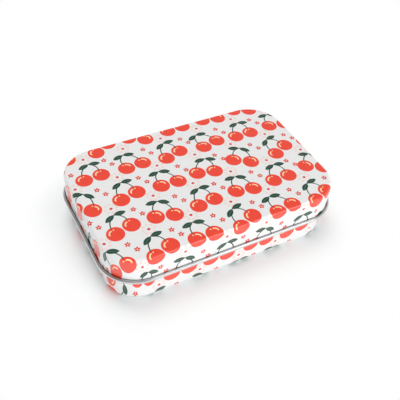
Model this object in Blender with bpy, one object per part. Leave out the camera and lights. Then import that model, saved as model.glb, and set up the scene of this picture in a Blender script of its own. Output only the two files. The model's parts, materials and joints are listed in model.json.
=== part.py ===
"""A hinged pocket tin of printed tinplate, closed, standing on its base.

Two drawn shells of thin sheet. The lid's lower edge is rolled outwards into a curl, and the base's
upper edge is rolled inwards. Two tongues cut from the base's back wall go out through slots in the
lid's skirt and close round the lid's curl, which is the hinge pin.

Metres, +Z up. The origin is the centre of the underside. The front is at -Y, the hinge at +Y.
"""

from math import acos, cos, pi, radians, sin

import bmesh
import bpy

# Sheet that both shells are drawn from
SHEET_THICKNESS = 0.00025

# Closed tin: the lid's skirt from above, over its outside
SKIRT_LENGTH = 0.0925
SKIRT_WIDTH = 0.0590
SKIRT_CORNER_RADIUS = 0.0135
TIN_HEIGHT = 0.0217

# Lid: the outside radius of its top edge, and its rolled lower edge. The depth runs from the top to
# the middle of the curl, and the groove is what the curl leaves open against the skirt.
LID_DEPTH = 0.0103
LID_EDGE_RADIUS = 0.0011
CURL_DIAMETER = 0.0014
CURL_GROOVE = 0.00026

# Base: the outside radius of its bottom edge, and its rolled upper edge
SIDE_CLEARANCE = 0.0008
LID_SEAT_CLEARANCE = 0.0003
BASE_EDGE_RADIUS = 0.0018
RIM_DIAMETER = 0.0013
RIM_GROOVE = 0.00012

# Hinge: tongues of the base, and the slots in the lid that they pass through. Each tongue stands in
# from the round corner beside it.
TONGUE_WIDTH = 0.0080
TONGUE_CORNER_INSET = 0.0047
TONGUE_BEND_RADIUS = 0.00015
TONGUE_CURL_CLEARANCE = 0.0001
TONGUE_SIDE_CUT = 0.0003
SLOT_SIDE_CLEARANCE = 0.0005
SLOT_TOP_CLEARANCE = 0.0005
SLOT_FOOT = 0.00015
TONGUE_WRAP = radians(225)

# Faces that meet at more than this show an edge
SHARP_ANGLE = radians(40)

# Steps of the round stretches
CORNER_STEPS = 10
EDGE_STEPS = 5
CURL_STEPS = 14
BEND_STEPS = 3
LOOP_STEPS = 12

# Materials: colour, roughness, metallic
PRINTED_SHEET = ((0.90, 0.89, 0.88, 1.0), 0.22, 0.0)
BASE_SHEET = ((0.93, 0.93, 0.93, 1.0), 0.22, 0.0)

half_sheet = SHEET_THICKNESS / 2
quarter_turn = pi / 2

# The reach of a point is its distance out from the rounded outline's corner centres, which both
# shells share. It is the corner radius of the outline that passes through the point.
corner_x = SKIRT_LENGTH / 2 - SKIRT_CORNER_RADIUS
corner_y = SKIRT_WIDTH / 2 - SKIRT_CORNER_RADIUS
skirt_reach = SKIRT_CORNER_RADIUS - half_sheet
skirt_inside_reach = SKIRT_CORNER_RADIUS - SHEET_THICKNESS

# The curl's centre line, which is the hinge axis along the back
curl_height = TIN_HEIGHT - LID_DEPTH
curl_radius = CURL_DIAMETER / 2
curl_reach = skirt_inside_reach + curl_radius
hinge_y = corner_y + curl_reach
tongue_loop_radius = curl_radius + TONGUE_CURL_CLEARANCE + half_sheet
tongue_top = curl_height + tongue_loop_radius + half_sheet

# The base's wall
wall_outside_reach = skirt_inside_reach - SIDE_CLEARANCE
wall_reach = wall_outside_reach - half_sheet
rim_radius = RIM_DIAMETER / 2
rim_top = TIN_HEIGHT - SHEET_THICKNESS - LID_SEAT_CLEARANCE

# A tongue's sheet turns out of the wall, runs to the curl and goes round it. The window that it
# leaves is as tall as its flat length.
bend_radius = TONGUE_BEND_RADIUS + half_sheet
bend_reach = wall_outside_reach + TONGUE_BEND_RADIUS
bend_height = tongue_top - half_sheet - bend_radius
tongue_flat_length = bend_radius * quarter_turn + curl_reach - bend_reach + tongue_loop_radius * TONGUE_WRAP
window_top = bend_height + tongue_flat_length


def arc(centre, radius, start, turn, steps):
    """Points (reach, height) along an arc of the section."""
    angles = [start + turn * step / steps for step in range(steps + 1)]
    return [(centre[0] + radius * cos(angle), centre[1] + radius * sin(angle)) for angle in angles]


def columns(back_places):
    """(corner centre x, y, outward x, y) round the outline, with more columns along the straight back."""
    found = []
    for index, (side_x, side_y) in enumerate(((1, 1), (-1, 1), (-1, -1), (1, -1))):
        for step in range(CORNER_STEPS + 1):
            angle = quarter_turn * (index + step / CORNER_STEPS)
            found.append((side_x * corner_x, side_y * corner_y, cos(angle), sin(angle)))
        if index == 0:
            found += [(place, corner_y, 0, 1) for place in sorted(back_places, reverse=True)]
    return found


def at(column, reach, height):
    x, y, out_x, out_y = column
    return (x + reach * out_x, y + reach * out_y, height)


def shell(section, around):
    """A surface with a flat panel inside the section's first point, and a ring of faces per step."""
    mesh = bmesh.new()
    rings = [[mesh.verts.new(at(column, *point)) for column in around] for point in section]
    mesh.faces.new(rings[0])
    for inner, outer in zip(rings, rings[1:]):
        for index in range(len(around)):
            after = (index + 1) % len(around)
            mesh.faces.new((inner[index], outer[index], outer[after], inner[after]))
    return mesh


def open_back(mesh, reach, left, right, low, high):
    """Removes the back wall's faces inside a rectangle whose edges are in the mesh."""
    inside = []
    for face in mesh.faces:
        middle = face.calc_center_median()
        in_wall = abs(middle.y - corner_y - reach) < half_sheet
        if in_wall and left < middle.x < right and low < middle.z < high:
            inside.append(face)
    bmesh.ops.delete(mesh, geom=inside, context="FACES")


def extrude_strip(mesh, left, right, path):
    """Extrudes the edge of the sheet between two places along X through the points (y, z) of a path."""
    start_y, start_z = path[0]
    tolerance = half_sheet
    ends = []
    for vertex in mesh.verts:
        place = vertex.co
        at_start = abs(place.y - start_y) < tolerance and abs(place.z - start_z) < tolerance
        if at_start and left - tolerance < place.x < right + tolerance:
            ends.append(vertex)
    ends.sort(key=lambda vertex: vertex.co.x)
    for y, z in path[1:]:
        new_ends = [mesh.verts.new((vertex.co.x, y, z)) for vertex in ends]
        mesh.faces.new((ends[0], ends[1], new_ends[1], new_ends[0]))
        ends = new_ends


def material(name, colour, roughness, metallic):
    made = bpy.data.materials.new(name)
    made.use_nodes = True
    shader = made.node_tree.nodes["Principled BSDF"]
    shader.inputs["Base Color"].default_value = colour
    shader.inputs["Roughness"].default_value = roughness
    shader.inputs["Metallic"].default_value = metallic
    made.diffuse_color = colour
    return made


def sheet_object(name, mesh, origin, finish):
    """An object of the surface, thickened to the sheet, with its own origin."""
    bmesh.ops.recalc_face_normals(mesh, faces=mesh.faces)
    bmesh.ops.translate(mesh, verts=mesh.verts, vec=[-part for part in origin])
    data = bpy.data.meshes.new(name)
    mesh.to_mesh(data)
    mesh.free()
    data.materials.append(material(name + "_finish", *finish))
    data.shade_smooth()
    data.set_sharp_from_angle(angle=SHARP_ANGLE)
    made = bpy.data.objects.new(name, data)
    made.location = origin
    bpy.context.collection.objects.link(made)
    sheet = made.modifiers.new("sheet", "SOLIDIFY")
    sheet.thickness = SHEET_THICKNESS
    sheet.offset = 0
    sheet.use_even_offset = True
    sheet.use_quality_normals = True
    return made


def tongue_places():
    """The left and right edge of each tongue along X."""
    outer = corner_x - TONGUE_CORNER_INSET
    inner = outer - TONGUE_WIDTH
    return [(-outer, -inner), (inner, outer)]


def make_lid():
    slot_low = curl_height + SLOT_FOOT
    slot_high = tongue_top + SLOT_TOP_CLEARANCE
    slots = [(left - SLOT_SIDE_CLEARANCE, right + SLOT_SIDE_CLEARANCE) for left, right in tongue_places()]
    edge_centre = (SKIRT_CORNER_RADIUS - LID_EDGE_RADIUS, TIN_HEIGHT - LID_EDGE_RADIUS)
    # The curl turns under and out from the skirt, and stops short of the skirt's outside
    curl_end = acos((SHEET_THICKNESS + CURL_GROOVE - curl_radius) / curl_radius)
    curl_centre = (curl_reach, curl_height)
    section = arc(edge_centre, LID_EDGE_RADIUS - half_sheet, quarter_turn, -quarter_turn, EDGE_STEPS)
    section += [(skirt_reach, slot_high), (skirt_reach, slot_low)]
    section += arc(curl_centre, curl_radius - half_sheet, pi, pi + curl_end, CURL_STEPS)
    mesh = shell(section, columns([place for slot in slots for place in slot]))
    for left, right in slots:
        open_back(mesh, skirt_reach, left, right, slot_low, slot_high)
    return sheet_object("lid", mesh, (0, hinge_y, curl_height), PRINTED_SHEET)


def make_base():
    edge_centre = (wall_outside_reach - BASE_EDGE_RADIUS, BASE_EDGE_RADIUS)
    # The rim turns over and in from the wall, and stops short of the wall's inside
    rim_end = acos((rim_radius - SHEET_THICKNESS - RIM_GROOVE) / rim_radius)
    rim_centre = (wall_outside_reach - rim_radius, rim_top - rim_radius)
    section = arc(edge_centre, BASE_EDGE_RADIUS - half_sheet, -quarter_turn, quarter_turn, EDGE_STEPS)
    section += [(wall_reach, bend_height), (wall_reach, window_top)]
    section += arc(rim_centre, rim_radius - half_sheet, 0, 2 * pi - rim_end, CURL_STEPS)
    windows = [(left - TONGUE_SIDE_CUT, right + TONGUE_SIDE_CUT) for left, right in tongue_places()]
    places = [place for edges in tongue_places() + windows for place in edges]
    mesh = shell(section, columns(places))
    for left, right in windows:
        open_back(mesh, wall_reach, left, right, bend_height, window_top)
    path = arc((bend_reach, bend_height), bend_radius, pi, -quarter_turn, BEND_STEPS)
    path += arc((curl_reach, curl_height), tongue_loop_radius, quarter_turn, -TONGUE_WRAP, LOOP_STEPS)
    for left, right in tongue_places():
        extrude_strip(mesh, left, right, [(corner_y + reach, height) for reach, height in path])
    return sheet_object("base", mesh, (0, 0, 0), BASE_SHEET)


def main():
    for old in list(bpy.data.objects):
        bpy.data.objects.remove(old)
    base = make_base()
    lid = make_lid()
    lid.parent = base


main()
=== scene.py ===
"""Looks of a hinged pocket tin: glossy printed sheet outside, bare tinplate inside and on rolled edges.

Metres, +Z up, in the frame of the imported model. The lid and the base are fine meshes of the same sheet
as the CAD solids, with a flat-sheet map that the print follows over the edges and round the corners.
"""

import json
from math import acos, cos, pi, radians, sin, sqrt

import bmesh
import bpy
from mathutils import Matrix, Vector


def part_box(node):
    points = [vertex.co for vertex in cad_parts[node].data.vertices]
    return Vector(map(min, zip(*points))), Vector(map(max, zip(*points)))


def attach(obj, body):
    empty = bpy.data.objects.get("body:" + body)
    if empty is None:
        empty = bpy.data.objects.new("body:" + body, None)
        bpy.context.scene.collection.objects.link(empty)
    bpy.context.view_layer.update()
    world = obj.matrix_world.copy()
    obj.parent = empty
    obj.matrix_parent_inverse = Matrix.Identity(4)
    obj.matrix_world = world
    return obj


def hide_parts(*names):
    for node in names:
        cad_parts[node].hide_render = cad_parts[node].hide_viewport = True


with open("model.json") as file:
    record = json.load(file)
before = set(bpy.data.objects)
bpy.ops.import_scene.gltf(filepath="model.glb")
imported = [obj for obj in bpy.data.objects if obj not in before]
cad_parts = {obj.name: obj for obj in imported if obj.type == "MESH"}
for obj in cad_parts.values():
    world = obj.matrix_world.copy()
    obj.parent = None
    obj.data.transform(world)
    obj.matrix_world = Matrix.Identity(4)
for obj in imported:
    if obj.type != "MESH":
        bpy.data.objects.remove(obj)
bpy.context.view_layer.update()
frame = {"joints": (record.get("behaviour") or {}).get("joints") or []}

# Sheet, and the round stretches that the frame's boxes don't give
SHEET_THICKNESS = 0.00025
SKIRT_CORNER_RADIUS = 0.0135
LID_EDGE_RADIUS = 0.0011
CURL_GROOVE = 0.00026
BASE_EDGE_RADIUS = 0.0018
RIM_DIAMETER = 0.0013
RIM_GROOVE = 0.00012

# Hinge tongues of the base, and the lid's slots for them
TONGUE_WIDTH = 0.0080
TONGUE_CORNER_INSET = 0.0047
TONGUE_BEND_RADIUS = 0.00015
TONGUE_SIDE_CUT = 0.0003
TONGUE_WRAP = radians(225)
SLOT_SIDE_CLEARANCE = 0.0005
SLOT_TOP_CLEARANCE = 0.0005
SLOT_FOOT = 0.00015

# The base's print runs in this far under the base. It ends this far above the middle of the lid's
# curl, where the skirt of the shut lid hides the end.
BASE_PRINT_UNDER = 0.0006
BASE_PRINT_OVERLAP = 0.0012

# Steps of the round stretches
CORNER_STEPS = 36
EDGE_STEPS = 12
CURL_STEPS = 40
BEND_STEPS = 6
LOOP_STEPS = 36
SHARP_ANGLE = radians(50)

# Camera, from a fit of the tin's edges in the photograph
CAMERA_AZIMUTH = radians(-31.49)
CAMERA_ELEVATION = radians(44.886)
CAMERA_ROLL = radians(5.3)
CAMERA_DISTANCE = 0.23662
CAMERA_RIGHT = 0.001621
CAMERA_UP = 0.005638
FOCAL_PIXELS = 593.685
PHOTO_PIXELS = 400
SENSOR_WIDTH = 36.0
CAMERA_CLIP_START = 0.01

# Print: a repeat of cherry pairs, with a ring of pale dots and two small blossoms to each pair
REPEAT_WIDTH = 0.0160
REPEAT_HEIGHT = 0.0140
MOTIF_TILT = radians(26)
CHERRY_RADIUS = 0.0032
LEFT_CHERRY = (-0.0034, -0.0024)
RIGHT_CHERRY = (0.0033, -0.0017)
STEM_JOINT = (0.0006, 0.0054)
STEM_FOOT_SHARE = 0.86
STEM_BULGE = 0.0008
STEM_WIDTH = 0.00042
LEAF_LENGTH = 0.0045
LEAF_WIDTH = 0.0021
LEAF_ANGLES = (radians(202), radians(-8))
LEAF_VEIN_WIDTH = 0.00012
SHINE_REACH_SHARE = 0.62
SHINE_ANGLES = (radians(168), radians(108))
SHINE_WIDTH = 0.00050
SHINE_BULGE_SHARE = 0.11
GLINT_ANGLE = radians(80)
GLINT_RADIUS = 0.00026
BLOSSOM_RADIUS = 0.00115
BLOSSOM_PETALS = 5
BLOSSOM_DEPTH_SHARE = 0.22
BLOSSOM_PLACES = ((-0.0011, 0.0017), (0.0010, -0.0014))
BLOSSOM_MIDDLE_RADIUS = 0.00026
BLOSSOM_SHIFT = (0.0080, 0.0035)
RING_RADIUS = 0.0021
RING_DOT_RADIUS = 0.00058
RING_DOTS = 8
RING_INK_SHARE = 0.9
RING_MIDDLE_RADIUS = 0.00058
RING_SHIFT = (0.0, 0.0086)
INK_EDGE = 0.00007
LID_PRINT_SHIFT = (0.0035, 0.0020)
BASE_PRINT_SHIFT = (0.0025, -0.0044)

# Surfaces. Each noise is given as waves per metre, detail and, for the rolling lines, roughness.
WHITE_NOISE = (260, 3)
RED_NOISE = (420, 2)
VARNISH_IOR = 1.7
VARNISH_ROUGHNESS = 0.12
VARNISH_ROUGHNESS_RANGE = 0.10
VARNISH_NOISE = (700, 2)
WAVES = (45, 1)
WAVE_HEIGHT = 0.00018
ROLL_NOISE = (800, 3)
ROLL_ROUGHNESS = 0.6
ROLLING_LINES = (9000, 3, 0.6)
LINE_STRETCH_SHARE = 0.03
LINE_DEPTH = 0.0000015
LINE_COLOUR_SHARE = 0.4
LINE_ROUGHNESS = 0.12
CLOUD_NOISE = (130, 3)
CLOUD_COLOUR_SHARE = 0.6
CLOUD_ROUGHNESS = 0.10
TIN_ROUGHNESS = 0.20

half_sheet = SHEET_THICKNESS / 2
quarter_turn = pi / 2

# Sizes from the frame. The reach of a point is its distance out from the rounded outline's corner
# centres, which both shells share.
lid_low, lid_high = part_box("lid")
_, base_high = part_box("base")
_, hinge_y, curl_height = frame["joints"][0]["pos_m"]
tin_height = lid_high.z
curl_radius = curl_height - lid_low.z
skirt_reach = SKIRT_CORNER_RADIUS - half_sheet
curl_reach = SKIRT_CORNER_RADIUS - SHEET_THICKNESS + curl_radius
corner_x = lid_high.x - curl_reach - curl_radius
corner_y = hinge_y - curl_reach
tongue_loop_radius = base_high.y - hinge_y - half_sheet
tongue_top = curl_height + tongue_loop_radius + half_sheet
wall_outside_reach = base_high.x - corner_x
wall_reach = wall_outside_reach - half_sheet
rim_radius = RIM_DIAMETER / 2
rim_top = base_high.z
bend_radius = TONGUE_BEND_RADIUS + half_sheet
bend_reach = wall_outside_reach + TONGUE_BEND_RADIUS
bend_height = tongue_top - half_sheet - bend_radius
tongue_flat_length = bend_radius * quarter_turn + curl_reach - bend_reach + tongue_loop_radius * TONGUE_WRAP
window_top = bend_height + tongue_flat_length

SHEET_MAP = "flat_sheet"

# A piece's material slots: print, painted shade inside the lid's roll, and bare metal
PRINTED, ROLL_SHADE, BARE = range(3)


def polar(centre, radius, angle):
    """The point at a distance and an angle from a centre."""
    return (centre[0] + radius * cos(angle), centre[1] + radius * sin(angle))


def arc(centre, radius, start, turn, steps):
    """Points (reach, height) along an arc of the section."""
    return [polar(centre, radius, start + turn * step / steps) for step in range(steps + 1)]


def columns(back_places):
    """(corner centre x, y, outward x, y, bend) round the outline.

    There are more columns along the straight back. Bend is 1 in a corner's middle and 0 on a side.
    """
    found = []
    for index, (side_x, side_y) in enumerate(((1, 1), (-1, 1), (-1, -1), (1, -1))):
        for step in range(CORNER_STEPS + 1):
            angle = quarter_turn * (index + step / CORNER_STEPS)
            bend = sin(pi * step / CORNER_STEPS)
            found.append((side_x * corner_x, side_y * corner_y, cos(angle), sin(angle), bend))
        if index == 0:
            found += [(place, corner_y, 0, 1, 0) for place in sorted(back_places, reverse=True)]
    return found


def flat_reaches(section):
    """(reach in the flat sheet along a side, the same in a corner) for each point of the section.

    A side only bends, so the sheet's length is kept. A corner is drawn, so its area is kept.
    """
    along = drawn = section[0][0]
    found = [(along, drawn)]
    for (reach, height), (next_reach, next_height) in zip(section, section[1:]):
        length = sqrt((next_reach - reach) ** 2 + (next_height - height) ** 2)
        along += length
        drawn = sqrt(drawn ** 2 + (reach + next_reach) * length)
        found.append((along, drawn))
    return found


class Sheet:
    """A surface in the middle of the sheet, with the place in the flat blank of each of its vertices."""

    def __init__(self, section, around, facing):
        """facing is 1 where the outside of the flat panel looks up, and -1 where it looks down."""
        self.mesh = bmesh.new()
        self.flat = {}
        self.around = around
        self.facing = facing
        rings = []
        for (reach, height), (along, drawn) in zip(section, flat_reaches(section)):
            ring = []
            for x, y, out_x, out_y, bend in around:
                flat_reach = along + (drawn - along) * bend
                flat = (x + flat_reach * out_x, facing * (y + flat_reach * out_y))
                ring.append(self.vertex((x + reach * out_x, y + reach * out_y, height), flat))
            rings.append(ring)
        self.mesh.faces.new(rings[0][::facing])
        for inner, outer in zip(rings, rings[1:]):
            for index in range(len(around)):
                after = (index + 1) % len(around)
                self.mesh.faces.new((inner[index], outer[index], outer[after], inner[after])[::facing])

    def vertex(self, place, flat):
        made = self.mesh.verts.new(place)
        self.flat[made] = flat
        return made

    def open_back(self, reach, left, right, low, high):
        """Removes the back wall's faces inside a rectangle whose edges are in the mesh."""
        inside = []
        for face in self.mesh.faces:
            middle = face.calc_center_median()
            in_wall = abs(middle.y - corner_y - reach) < half_sheet
            if in_wall and left < middle.x < right and low < middle.z < high:
                inside.append(face)
        bmesh.ops.delete(self.mesh, geom=inside, context="FACES")

    def extrude_strip(self, left, right, path):
        """Extrudes the sheet's edge between two places along X through the points (y, z) of a path."""
        start_y, start_z = path[0]
        ends = []
        for vertex in self.mesh.verts:
            place = vertex.co
            at_start = abs(place.y - start_y) < half_sheet and abs(place.z - start_z) < half_sheet
            if at_start and left - half_sheet < place.x < right + half_sheet:
                ends.append(vertex)
        ends.sort(key=lambda vertex: vertex.co.x)
        for (y, z), (next_y, next_z) in zip(path, path[1:]):
            length = sqrt((next_y - y) ** 2 + (next_z - z) ** 2)
            new_ends = []
            for vertex in ends:
                flat_x, flat_y = self.flat[vertex]
                flat = (flat_x, flat_y + self.facing * length)
                new_ends.append(self.vertex((vertex.co.x, next_y, next_z), flat))
            strip = (ends[1], ends[0], new_ends[0], new_ends[1])
            self.mesh.faces.new(strip[::-self.facing])
            ends = new_ends

    def finish(self, name, materials, outside_slot):
        """The finished piece. outside_slot(face) is the material slot of a face's outside."""
        sheet_map = self.mesh.loops.layers.uv.new(SHEET_MAP)
        for face in self.mesh.faces:
            face.material_index = outside_slot(face)
            for loop in face.loops:
                loop[sheet_map].uv = self.flat[loop.vert]
        surface = bpy.data.meshes.new(name)
        self.mesh.to_mesh(surface)
        self.mesh.free()
        for material in materials:
            surface.materials.append(material)
        return thickened(name, surface)


def thickened(name, surface):
    """A piece with the sheet's thickness. Its inner side and its cut edges are bare metal."""
    piece = bpy.data.objects.new(name, surface)
    bpy.context.scene.collection.objects.link(piece)
    sheet = piece.modifiers.new("sheet", "SOLIDIFY")
    sheet.thickness = SHEET_THICKNESS
    sheet.offset = 0
    sheet.use_even_offset = True
    sheet.use_quality_normals = True
    sheet.material_offset = BARE
    sheet.material_offset_rim = BARE
    seen = piece.evaluated_get(bpy.context.evaluated_depsgraph_get())
    solid = bpy.data.meshes.new_from_object(seen)
    piece.modifiers.clear()
    piece.data = solid
    bpy.data.meshes.remove(surface)
    solid.name = name
    solid.shade_smooth()
    solid.set_sharp_from_angle(angle=SHARP_ANGLE)
    shading = piece.modifiers.new("flat_panels", "WEIGHTED_NORMAL")
    shading.keep_sharp = True
    return piece


def tongue_places():
    """The left and right edge of each tongue along X."""
    outer = corner_x - TONGUE_CORNER_INSET
    inner = outer - TONGUE_WIDTH
    return [(-outer, -inner), (inner, outer)]


def make_lid(materials):
    slot_low = curl_height + SLOT_FOOT
    slot_high = tongue_top + SLOT_TOP_CLEARANCE
    roll_top = curl_height + curl_radius
    slots = [(left - SLOT_SIDE_CLEARANCE, right + SLOT_SIDE_CLEARANCE) for left, right in tongue_places()]
    edge_centre = (SKIRT_CORNER_RADIUS - LID_EDGE_RADIUS, tin_height - LID_EDGE_RADIUS)
    # The curl turns under and out from the skirt, and stops short of the skirt's outside
    curl_end = acos((SHEET_THICKNESS + CURL_GROOVE - curl_radius) / curl_radius)
    section = arc(edge_centre, LID_EDGE_RADIUS - half_sheet, quarter_turn, -quarter_turn, EDGE_STEPS)
    section += [(skirt_reach, slot_high), (skirt_reach, roll_top), (skirt_reach, slot_low)]
    section += arc((curl_reach, curl_height), curl_radius - half_sheet, pi, pi + curl_end, CURL_STEPS)
    sheet = Sheet(section, columns([place for slot in slots for place in slot]), 1)
    for left, right in slots:
        sheet.open_back(skirt_reach, left, right, slot_low, slot_high)

    def outside_slot(face):
        # Below the roll's top, the sheet's outside takes a painted shade for the groove's shadow
        return ROLL_SHADE if face.calc_center_bounds().z < roll_top else PRINTED

    return sheet.finish("lid_shell", materials, outside_slot)


def make_base(materials):
    edge_centre = (wall_outside_reach - BASE_EDGE_RADIUS, BASE_EDGE_RADIUS)
    # The rim turns over and in from the wall, and stops short of the wall's inside
    rim_end = acos((rim_radius - SHEET_THICKNESS - RIM_GROOVE) / rim_radius)
    rim_centre = (wall_outside_reach - rim_radius, rim_top - rim_radius)
    print_top = curl_height + BASE_PRINT_OVERLAP
    section = [(edge_centre[0] - BASE_PRINT_UNDER, half_sheet)]
    section += arc(edge_centre, BASE_EDGE_RADIUS - half_sheet, -quarter_turn, quarter_turn, EDGE_STEPS)
    section += sorted((wall_reach, height) for height in (bend_height, print_top, window_top))
    section += arc(rim_centre, rim_radius - half_sheet, 0, 2 * pi - rim_end, CURL_STEPS)
    windows = [(left - TONGUE_SIDE_CUT, right + TONGUE_SIDE_CUT) for left, right in tongue_places()]
    places = [place for edges in tongue_places() + windows for place in edges]
    sheet = Sheet(section, columns(places), -1)
    for left, right in windows:
        sheet.open_back(wall_reach, left, right, bend_height, window_top)
    path = arc((bend_reach, bend_height), bend_radius, pi, -quarter_turn, BEND_STEPS)
    path += arc((curl_reach, curl_height), tongue_loop_radius, quarter_turn, -TONGUE_WRAP, LOOP_STEPS)
    for left, right in tongue_places():
        sheet.extrude_strip(left, right, [(corner_y + reach, height) for reach, height in path])

    def outside_slot(face):
        middle = face.calc_center_bounds()
        in_panel = len(face.verts) == len(sheet.around)
        on_tongue = middle.y > corner_y + wall_reach + half_sheet
        printed = middle.z < print_top and not in_panel and not on_tongue
        return PRINTED if printed else BARE

    return sheet.finish("base_shell", materials, outside_slot)


def screen_colour(red, green, blue):
    """The linear colour of a screen colour whose parts run from 0 to 255, by the sRGB formula."""
    linear = []
    for part in (red, green, blue):
        share = part / 255
        linear.append(share / 12.92 if share <= 0.04045 else ((share + 0.055) / 1.055) ** 2.4)
    return (*linear, 1.0)


# Colours
COAT_WHITE = screen_colour(230, 231, 232)
COAT_WHITE_WARM = screen_colour(232, 231, 229)
INK_RED = screen_colour(240, 72, 44)
INK_RED_DEEP = screen_colour(230, 60, 46)
INK_GREEN = screen_colour(22, 64, 46)
INK_GREEN_LIGHT = screen_colour(92, 134, 108)
INK_CREAM = screen_colour(255, 222, 178)
INK_ROSE = screen_colour(216, 62, 66)
INK_PALE = screen_colour(238, 212, 204)
# Painted shade for the groove of the lid's roll: the sheet there is darkened to stand for its shadow
ROLL_SHADE_DARK = screen_colour(18, 17, 16)
ROLL_SHADE_LIGHT = screen_colour(30, 29, 28)
TIN_COLOUR = screen_colour(228, 229, 229)
TIN_DARK = screen_colour(204, 206, 208)
FLOOR_WHITE = screen_colour(249, 253, 254)


class Field:
    """A value that varies over a surface: a shader node's output. Fields of numbers take + - * and /."""

    def __init__(self, tree, socket):
        self.tree = tree
        self.socket = socket

    def __add__(self, other):
        return number("ADD", self, other)

    def __sub__(self, other):
        return number("SUBTRACT", self, other)

    def __mul__(self, other):
        return number("MULTIPLY", self, other)

    def __truediv__(self, other):
        return number("DIVIDE", self, other)


def put(field_or_value, socket):
    """Sets a socket, by a link from a field or as a plain value."""
    if isinstance(field_or_value, Field):
        field_or_value.tree.links.new(field_or_value.socket, socket)
    else:
        socket.default_value = field_or_value


def number(operation, *values, clamp=False):
    """The field of a Math node. The first value is a field."""
    tree = values[0].tree
    node = tree.nodes.new("ShaderNodeMath")
    node.operation = operation
    node.use_clamp = clamp
    for value, socket in zip(values, node.inputs):
        put(value, socket)
    return Field(tree, node.outputs[0])


def smallest(first, *others):
    for other in others:
        first = number("MINIMUM", first, other)
    return first


def coordinates(place):
    """A place's three coordinates. A place in the flat blank has 0 for the third."""
    node = place.tree.nodes.new("ShaderNodeSeparateXYZ")
    put(place, node.inputs[0])
    return [Field(place.tree, output) for output in node.outputs]


def joined(x, y):
    """The place with these coordinates."""
    node = x.tree.nodes.new("ShaderNodeCombineXYZ")
    put(x, node.inputs[0])
    put(y, node.inputs[1])
    return Field(x.tree, node.outputs[0])


def moved(place, offset):
    node = place.tree.nodes.new("ShaderNodeVectorMath")
    node.operation = "ADD"
    put(place, node.inputs[0])
    put((*offset, 0), node.inputs[1])
    return Field(place.tree, node.outputs["Vector"])


def turned(place, angle):
    node = place.tree.nodes.new("ShaderNodeVectorRotate")
    node.rotation_type = "Z_AXIS"
    put(place, node.inputs["Vector"])
    put(angle, node.inputs["Angle"])
    return Field(place.tree, node.outputs["Vector"])


def disc(place, centre, radius):
    """The distance from a disc, negative inside it, as in all the shapes here."""
    node = place.tree.nodes.new("ShaderNodeVectorMath")
    node.operation = "DISTANCE"
    put(place, node.inputs[0])
    put((*centre, 0), node.inputs[1])
    return Field(place.tree, node.outputs["Value"]) - radius


def lens(start, end, width):
    """The centres and the radius of two discs that overlap in a leaf from start to end."""
    start, end = Vector(start), Vector(end)
    middle = (start + end) / 2
    half_length = (end - start).length / 2
    radius = (half_length ** 2 + (width / 2) ** 2) / width
    side = (end - start).orthogonal().normalized() * (radius - width / 2)
    return middle, middle + side, middle - side, radius


def leaf(place, start, end, width):
    """A shape between two arcs, pointed at its start and its end."""
    _, one, other, radius = lens(start, end, width)
    return number("MAXIMUM", disc(place, one, radius), disc(place, other, radius))


def stroke(place, start, end, bulge, width):
    """A line of even width along an arc from start to end, which stands out to the left by bulge."""
    middle, one, other, radius = lens(start, end, 2 * abs(bulge))
    centre = other if bulge > 0 else one
    line = number("ABSOLUTE", disc(place, centre, radius)) - width / 2
    reach = (Vector(end) - Vector(start)).length / 2 + width / 4
    return number("MAXIMUM", line, disc(place, middle, reach))


def petals(place, centre, radius, count, depth_share):
    """A flower of an outer radius, whose edge waves in and out by a share of it, once to each petal."""
    place = moved(place, (-centre[0], -centre[1]))
    across, up, _ = coordinates(place)
    angle = number("ARCTAN2", up, across)
    edge = number("COSINE", angle * count) * (radius * depth_share)
    return disc(place, (0, 0), radius * (1 - depth_share)) - edge


def dot_ring(place, radius, dot_radius, count):
    """Equal dots in a ring."""
    across, up, _ = coordinates(place)
    angle = number("ARCTAN2", up, across)
    step = 2 * pi / count
    folded = angle - number("ROUND", angle / step) * step
    away = disc(place, (0, 0), 0)
    near = joined(number("COSINE", folded) * away, number("SINE", folded) * away)
    return disc(near, (radius, 0), dot_radius)


def repeat_cells(place, shift):
    """(place from the middle of its cell, column, row). Odd rows stand aside by half a cell."""
    across, up, _ = coordinates(moved(place, (-shift[0], -shift[1])))
    row = number("ROUND", up / REPEAT_HEIGHT)
    aside = number("FLOORED_MODULO", row, 2) * (REPEAT_WIDTH / 2)
    column = number("ROUND", (across - aside) / REPEAT_WIDTH)
    own_place = joined(across - aside - column * REPEAT_WIDTH, up - row * REPEAT_HEIGHT)
    return own_place, column, row


def painted(colour, ink, shape, strength=1.0):
    """The colour with a shape printed over it."""
    cover = number("MULTIPLY_ADD", shape, -strength / INK_EDGE, strength / 2, clamp=True)
    if strength < 1:
        cover = number("MINIMUM", cover, strength)
    return mixed(cover, colour, ink)


def mixed(factor, first, second):
    """The first colour where the factor is 0, and the second where it is 1."""
    node = factor.tree.nodes.new("ShaderNodeMix")
    node.data_type = "RGBA"
    put(factor, node.inputs["Factor"])
    colour_inputs = [socket for socket in node.inputs if socket.type == "RGBA"]
    for colour, socket in zip((first, second), colour_inputs):
        put(colour, socket)
    return Field(factor.tree, [socket for socket in node.outputs if socket.type == "RGBA"][0])


def noise(place, waves_per_metre, detail, roughness=0.5):
    """Smooth noise from 0 to 1."""
    node = place.tree.nodes.new("ShaderNodeTexNoise")
    put(place, node.inputs["Vector"])
    put(waves_per_metre, node.inputs["Scale"])
    put(detail, node.inputs["Detail"])
    put(roughness, node.inputs["Roughness"])
    return Field(place.tree, node.outputs["Fac"])


def tilted(cells):
    """The place in its cell, turned by a chance angle and mirrored in every other cell."""
    place, column, row = cells
    chance = place.tree.nodes.new("ShaderNodeTexWhiteNoise")
    chance.noise_dimensions = "2D"
    put(joined(column, row), chance.inputs["Vector"])
    tilt = (Field(place.tree, chance.outputs["Value"]) - 0.5) * (2 * MOTIF_TILT)
    side = number("FLOORED_MODULO", column + row, 2) * -2 + 1
    across, up, _ = coordinates(turned(place, tilt))
    return joined(across * side, up)


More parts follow.
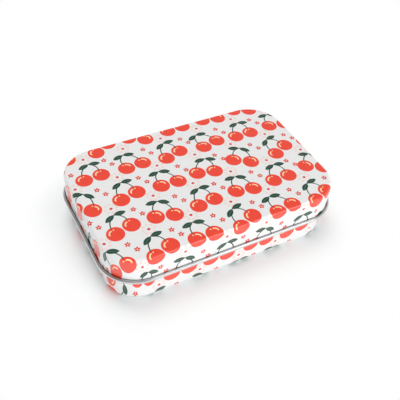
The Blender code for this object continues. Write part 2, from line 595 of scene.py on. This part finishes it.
def shine(place, centre):
    """The painted light on a cherry: a bent streak and a glint beside it."""
    reach = CHERRY_RADIUS * SHINE_REACH_SHARE
    ends = [polar(centre, reach, angle) for angle in SHINE_ANGLES]
    streak = stroke(place, *ends, CHERRY_RADIUS * SHINE_BULGE_SHARE, SHINE_WIDTH)
    return [streak, disc(place, polar(centre, reach, GLINT_ANGLE), GLINT_RADIUS)]


def cherry_pairs(colour, cells, red):
    """Prints two cherries on stems that meet under two leaves, in each cell."""
    place = tilted(cells)
    cherries = []
    shines = []
    stems = []
    for centre, bulge in ((LEFT_CHERRY, STEM_BULGE), (RIGHT_CHERRY, -STEM_BULGE)):
        foot = (centre[0], centre[1] + CHERRY_RADIUS * STEM_FOOT_SHARE)
        cherries.append(disc(place, centre, CHERRY_RADIUS))
        shines += shine(place, centre)
        stems.append(stroke(place, foot, STEM_JOINT, bulge, STEM_WIDTH))
    leaves = []
    veins = []
    for angle in LEAF_ANGLES:
        tip = polar(STEM_JOINT, LEAF_LENGTH, angle)
        leaves.append(leaf(place, STEM_JOINT, tip, LEAF_WIDTH))
        veins.append(leaf(place, STEM_JOINT, tip, LEAF_VEIN_WIDTH))
    colour = painted(colour, red, smallest(*cherries))
    colour = painted(colour, INK_CREAM, smallest(*shines))
    colour = painted(colour, INK_GREEN, smallest(*stems, *leaves))
    return painted(colour, INK_GREEN_LIGHT, smallest(*veins))


def blossoms(colour, cells):
    """Prints two small blossoms in each cell."""
    place = cells[0]
    flowers = []
    middles = []
    for centre in BLOSSOM_PLACES:
        flowers.append(petals(place, centre, BLOSSOM_RADIUS, BLOSSOM_PETALS, BLOSSOM_DEPTH_SHARE))
        middles.append(disc(place, centre, BLOSSOM_MIDDLE_RADIUS))
    colour = painted(colour, INK_ROSE, smallest(*flowers))
    return painted(colour, INK_CREAM, smallest(*middles))


def dot_rings(colour, cells):
    """Prints a ring of pale dots round a red one in each cell."""
    place = cells[0]
    ring = dot_ring(place, RING_RADIUS, RING_DOT_RADIUS, RING_DOTS)
    colour = painted(colour, INK_PALE, ring, RING_INK_SHARE)
    return painted(colour, INK_ROSE, disc(place, (0, 0), RING_MIDDLE_RADIUS))


def new_material(name):
    made = bpy.data.materials.new(name)
    made.use_nodes = True
    return made, made.node_tree, made.node_tree.nodes["Principled BSDF"]


def sheet_place(tree):
    """The place in the flat blank, from the sheet's own map."""
    node = tree.nodes.new("ShaderNodeUVMap")
    node.uv_map = SHEET_MAP
    return Field(tree, node.outputs["UV"])


def bumped(shader, heights, distance):
    """Raises the surface by a field of shares of a distance."""
    tree = heights.tree
    node = tree.nodes.new("ShaderNodeBump")
    put(heights, node.inputs["Height"])
    put(distance, node.inputs["Distance"])
    tree.links.new(node.outputs["Normal"], shader.inputs["Normal"])


def printed_material(name, shift):
    """White coat and print under a clear varnish."""
    made, tree, shader = new_material(name)
    place = sheet_place(tree)

    def cells(own_shift):
        return repeat_cells(place, (shift[0] + own_shift[0], shift[1] + own_shift[1]))

    white = mixed(noise(place, *WHITE_NOISE), COAT_WHITE, COAT_WHITE_WARM)
    red = mixed(noise(place, *RED_NOISE), INK_RED, INK_RED_DEEP)
    colour = dot_rings(white, cells(RING_SHIFT))
    colour = blossoms(colour, cells(BLOSSOM_SHIFT))
    colour = cherry_pairs(colour, cells((0, 0)), red)
    put(colour, shader.inputs["Base Color"])
    rough = noise(place, *VARNISH_NOISE) * VARNISH_ROUGHNESS_RANGE + VARNISH_ROUGHNESS
    put(rough, shader.inputs["Roughness"])
    put(VARNISH_IOR, shader.inputs["IOR"])
    bumped(shader, noise(place, *WAVES), WAVE_HEIGHT)
    return made


def roll_shade_material():
    """A painted shade, dull and dark, on the side of the sheet that the lid's roll encloses, standing for
    the shadow in the roll's groove.
    """
    made, tree, shader = new_material("roll_inside")
    tone = noise(sheet_place(tree), *ROLL_NOISE)
    put(mixed(tone, ROLL_SHADE_DARK, ROLL_SHADE_LIGHT), shader.inputs["Base Color"])
    put(ROLL_ROUGHNESS, shader.inputs["Roughness"])
    return made


def tinplate_material():
    """Bare tinplate with the fine lines of rolling along the blank's length."""
    made, tree, shader = new_material("bare_tinplate")
    place = sheet_place(tree)
    across, up, _ = coordinates(place)
    lines = noise(joined(across * LINE_STRETCH_SHARE, up), *ROLLING_LINES)
    cloud = noise(place, *CLOUD_NOISE)
    tone = cloud * CLOUD_COLOUR_SHARE + lines * LINE_COLOUR_SHARE
    put(mixed(tone, TIN_DARK, TIN_COLOUR), shader.inputs["Base Color"])
    put(1.0, shader.inputs["Metallic"])
    put(lines * LINE_ROUGHNESS + cloud * CLOUD_ROUGHNESS + TIN_ROUGHNESS, shader.inputs["Roughness"])
    bumped(shader, lines, LINE_DEPTH)
    return made


# Sky of the studio. Its strength changes between two heights, and falls towards its shady side.
SKY_HIGH_STRENGTH = 0.32
SKY_LOW_STRENGTH = 1.0
SKY_LOW_END = sin(radians(13))
SKY_HIGH_START = sin(radians(45))
SHADY_AZIMUTH = radians(-100)
SHADY_SHARE = 0.60
SHADY_START = cos(radians(75))
SHADY_END = cos(radians(35))
SEEN_WHITE = screen_colour(254, 255, 254)

# Lamps: power in watts, size and direction
LAMP_DISTANCE = 0.60
KEY_POWER = 1.60
KEY_SIZE = 0.34
KEY_AZIMUTH = radians(-165)
KEY_ELEVATION = radians(70)
FRONT_POWER = 0.72
FRONT_SIZE = 0.23
FRONT_AZIMUTH = radians(30)
FRONT_ELEVATION = radians(40)
FILL_POWER = 1.95
FILL_SIZE = 0.40
FILL_AZIMUTH = radians(5)
FILL_ELEVATION = radians(10)
SIDE_POWER = 0.60
SIDE_SIZE = 0.40
SIDE_AZIMUTH = radians(-85)
SIDE_ELEVATION = radians(12)

# Floor. It lies a little under the tin, and fades to the background between two distances from the
# skirt's outline, of which a negative one is inside it.
FLOOR_REACH = 2.0
FLOOR_DROP = 0.00003
FLOOR_FADE_START = -0.001
FLOOR_FADE_END = 0.0155
FLOOR_ROUGHNESS = 0.30
FLOOR_SPECULAR = 0.20


def direction(azimuth, elevation):
    """Towards a place in the sky. Azimuth 0 is the front, and it grows to the right."""
    return Vector((sin(azimuth) * cos(elevation), -cos(azimuth) * cos(elevation), sin(elevation)))


def seen_rays(tree):
    """1 for the rays that show the background: the camera's, and those through and off shiny surfaces."""
    path = tree.nodes.new("ShaderNodeLightPath")
    names = ("Is Camera Ray", "Is Glossy Ray", "Is Transmission Ray")
    rays = [Field(tree, path.outputs[name]) for name in names]
    return number("MAXIMUM", number("MAXIMUM", rays[0], rays[1]), rays[2])


def eased(field, start, end, first, last):
    """Goes smoothly from the first value, where the field is at its start, to the last."""
    node = field.tree.nodes.new("ShaderNodeMapRange")
    node.interpolation_type = "SMOOTHSTEP"
    for value, socket in zip((field, start, end, first, last), node.inputs):
        put(value, socket)
    return Field(field.tree, node.outputs["Result"])


def make_world():
    """A soft white room, darker overhead and on one side. The camera sees it white."""
    world = bpy.data.worlds.new("studio")
    world.use_nodes = True
    bpy.context.scene.world = world
    tree = world.node_tree
    where = tree.nodes.new("ShaderNodeTexCoord")
    across, along, height = coordinates(Field(tree, where.outputs["Generated"]))
    sky = eased(height, SKY_LOW_END, SKY_HIGH_START, SKY_LOW_STRENGTH, SKY_HIGH_STRENGTH)
    shady = direction(SHADY_AZIMUTH, 0)
    shade = eased(across * shady.x + along * shady.y, SHADY_START, SHADY_END, 1.0, 1.0 - SHADY_SHARE)
    path = tree.nodes.new("ShaderNodeLightPath")
    seen = Field(tree, path.outputs["Is Camera Ray"])
    light = tree.nodes["Background"]
    put(SEEN_WHITE, light.inputs["Color"])
    put(number("MAXIMUM", sky * shade, seen), light.inputs["Strength"])


def floor_material():
    """A satin white that fades to the white background away from the tin."""
    made, tree, shader = new_material("table")
    put(FLOOR_WHITE, shader.inputs["Base Color"])
    put(FLOOR_ROUGHNESS, shader.inputs["Roughness"])
    put(FLOOR_SPECULAR, shader.inputs["Specular IOR Level"])
    seen = tree.nodes.new("ShaderNodeEmission")
    put(SEEN_WHITE, seen.inputs["Color"])
    where = tree.nodes.new("ShaderNodeTexCoord")
    across, along, _ = coordinates(Field(tree, where.outputs["Object"]))
    beside = number("MAXIMUM", number("ABSOLUTE", across) - corner_x, 0.0)
    before = number("MAXIMUM", number("ABSOLUTE", along) - corner_y, 0.0)
    away = disc(joined(beside, before), (0, 0), SKIRT_CORNER_RADIUS)
    fade = number("MINIMUM", (away - FLOOR_FADE_START) / (FLOOR_FADE_END - FLOOR_FADE_START), 1.0)
    either = tree.nodes.new("ShaderNodeMixShader")
    put(number("MULTIPLY", seen_rays(tree), fade, clamp=True), either.inputs[0])
    tree.links.new(shader.outputs[0], either.inputs[1])
    tree.links.new(seen.outputs[0], either.inputs[2])
    tree.links.new(either.outputs[0], tree.nodes["Material Output"].inputs["Surface"])
    return made


def make_floor():
    """A plain table under the tin."""
    mesh = bmesh.new()
    bmesh.ops.create_grid(mesh, size=FLOOR_REACH, matrix=Matrix.Translation((0, 0, -FLOOR_DROP)))
    data = bpy.data.meshes.new("floor")
    mesh.to_mesh(data)
    mesh.free()
    data.materials.append(floor_material())
    floor = bpy.data.objects.new("floor", data)
    bpy.context.scene.collection.objects.link(floor)


def make_lamp(name, power, size, azimuth, elevation, mirrored=True):
    """A square soft lamp that faces the tin. Glossy surfaces show it only if it is mirrored."""
    data = bpy.data.lights.new(name, "AREA")
    data.energy = power
    data.size = size
    lamp = bpy.data.objects.new(name, data)
    towards = direction(azimuth, elevation)
    lamp.location = towards * LAMP_DISTANCE
    lamp.rotation_euler = towards.to_track_quat("Z", "Y").to_euler()
    lamp.visible_glossy = mirrored
    bpy.context.scene.collection.objects.link(lamp)


def make_camera():
    back = direction(CAMERA_AZIMUTH, CAMERA_ELEVATION)
    right = Vector((cos(CAMERA_AZIMUTH), sin(CAMERA_AZIMUTH), 0))
    turn = Matrix.Rotation(CAMERA_ROLL, 3, back)
    right = turn @ right
    up = back.cross(right)
    place = back * CAMERA_DISTANCE + right * CAMERA_RIGHT + up * CAMERA_UP
    data = bpy.data.cameras.new("camera")
    data.sensor_width = SENSOR_WIDTH
    data.lens = FOCAL_PIXELS / PHOTO_PIXELS * SENSOR_WIDTH
    data.clip_start = CAMERA_CLIP_START
    camera = bpy.data.objects.new("camera", data)
    axes = Matrix((right, up, back)).transposed().to_4x4()
    camera.matrix_world = Matrix.Translation(place) @ axes
    bpy.context.scene.collection.objects.link(camera)
    bpy.context.scene.camera = camera


def main():
    bpy.context.scene.view_settings.view_transform = "Standard"
    make_camera()
    make_world()
    make_floor()
    make_lamp("key", KEY_POWER, KEY_SIZE, KEY_AZIMUTH, KEY_ELEVATION, mirrored=False)
    make_lamp("front", FRONT_POWER, FRONT_SIZE, FRONT_AZIMUTH, FRONT_ELEVATION)
    make_lamp("fill", FILL_POWER, FILL_SIZE, FILL_AZIMUTH, FILL_ELEVATION, mirrored=False)
    make_lamp("side", SIDE_POWER, SIDE_SIZE, SIDE_AZIMUTH, SIDE_ELEVATION, mirrored=False)
    plain = (roll_shade_material(), tinplate_material())
    lid = make_lid((printed_material("printed_lid", LID_PRINT_SHIFT), *plain))
    base = make_base((printed_material("printed_base", BASE_PRINT_SHIFT), *plain))
    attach(lid, "lid")
    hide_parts("lid")
    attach(base, "base")
    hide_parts("base")


main()
